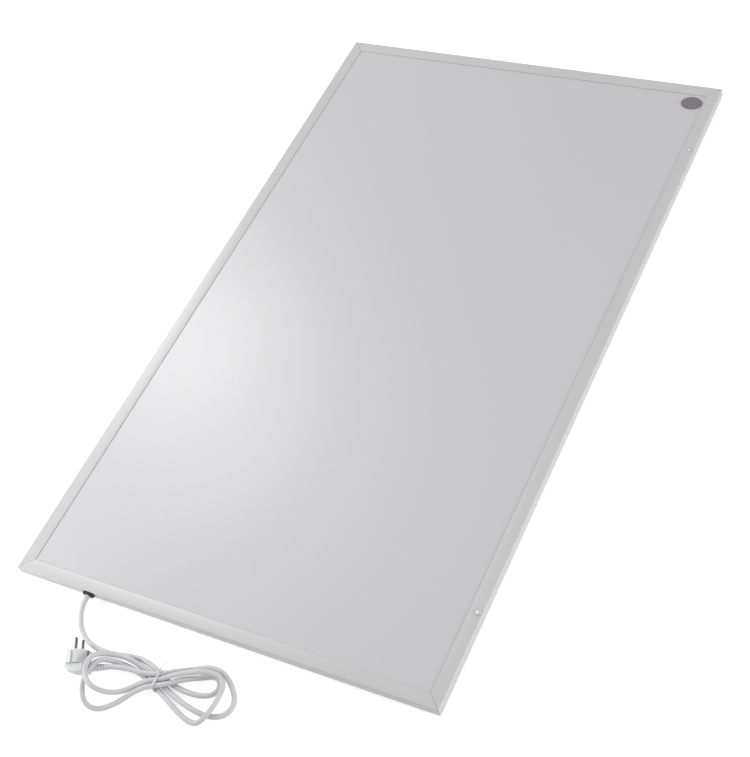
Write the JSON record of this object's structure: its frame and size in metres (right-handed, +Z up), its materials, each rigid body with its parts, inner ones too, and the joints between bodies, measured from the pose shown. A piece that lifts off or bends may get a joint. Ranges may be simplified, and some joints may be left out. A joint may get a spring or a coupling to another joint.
{
  "type": "infrared panel heater",
  "caption": "Thin framed infrared heating panel with a plain white radiating plate, wall hangers on its back, and a bundled supply cord with an earthed plug.",
  "frame": {"origin": "on the floor, under the middle of the panel as it lies on its back", "axes": "+Z up, out of the heating face; +X along the short side, towards the side with the two frame screws; +Y along the long side, away from the cord"},
  "size_m": [0.6, 1.1311, 0.0347],
  "materials": {
    "frame_lacquer": "satin white lacquer on aluminium",
    "plate_powder_coat": "fine textured white powder coat on steel",
    "bright_steel": "bright plated steel",
    "zinc_steel": "zinc plated steel",
    "plug_nickel": "nickel plated brass",
    "plug_plastic": "moulded white plastic",
    "cord_sheath": "smooth white PVC",
    "grommet_rubber": "black moulded rubber",
    "tie_nylon": "pale plastic covered wire",
    "badge_plastic": "dark moulded plastic",
    "carbon_film": "carbon heating film",
    "reflector_foil": "bright foil",
    "mineral_board": "pressed mineral wool",
    "terminal_nylon": "moulded nylon",
    "contact_brass": "bright brass",
    "live_insulation": "brown PVC",
    "neutral_insulation": "blue PVC",
    "earth_insulation": "green and yellow PVC"
  },
  "bodies": {
    "panel": {"cord_grommet": "grommet_rubber", "cord_hank": "cord_sheath", "cord_lead": "cord_sheath", "cord_tail": "cord_sheath", "cord_tie": "tie_nylon", "corner_badge": "badge_plastic", "corner_key_bottom_left": "zinc_steel", "corner_key_bottom_right": "zinc_steel", "corner_key_top_left": "zinc_steel", "corner_key_top_right": "zinc_steel", "earth_bond_wire": "earth_insulation", "earth_core": "earth_insulation", "earth_lug": "zinc_steel", "earth_screw": "zinc_steel", "fixed_contact": "contact_brass", "frame_bottom": "frame_lacquer", "frame_left": "frame_lacquer", "frame_right": "frame_lacquer", "frame_screw_bottom": "bright_steel", "frame_screw_top": "bright_steel", "frame_top": "frame_lacquer", "front_plate": "plate_powder_coat", "hanger_bottom_left": "zinc_steel", "hanger_bottom_right": "zinc_steel", "hanger_rivet_bottom_left_a": "zinc_steel", "hanger_rivet_bottom_left_b": "zinc_steel", "hanger_rivet_bottom_right_a": "zinc_steel", "hanger_rivet_bottom_right_b": "zinc_steel", "hanger_rivet_top_left_a": "zinc_steel", "hanger_rivet_top_left_b": "zinc_steel", "hanger_rivet_top_right_a": "zinc_steel", "hanger_rivet_top_right_b": "zinc_steel", "hanger_top_left": "zinc_steel", "hanger_top_right": "zinc_steel", "heating_element": "carbon_film", "inner_cord": "cord_sheath", "insulation_board": "mineral_board", "live_core": "live_insulation", "live_element_lead": "live_insulation", "live_link": "live_insulation", "neutral_core": "neutral_insulation", "neutral_element_lead": "neutral_insulation", "plug_body": "plug_plastic", "plug_earth_strip_left": "plug_nickel", "plug_earth_strip_right": "plug_nickel", "plug_pin_lower": "plug_nickel", "plug_pin_upper": "plug_nickel", "plug_rear_cover": "plug_plastic", "plug_strain_relief": "plug_plastic", "rear_cover": "frame_lacquer", "reflector_sheet": "reflector_foil", "terminal_block": "terminal_nylon", "terminal_screw_1": "contact_brass", "terminal_screw_2": "contact_brass", "terminal_screw_3": "contact_brass", "thermal_cutout_case": "terminal_nylon"},
    "thermal_arm": {"bimetal_arm": "contact_brass"}
  },
  "joints": [
    {"name": "thermal_arm_bend", "type": "hinge", "parent": "panel", "child": "thermal_arm", "pos_m": [-0.1429, -0.455, 0.0127], "axis": [0, -1, 0], "range_deg": [0, 3]}
  ]
}
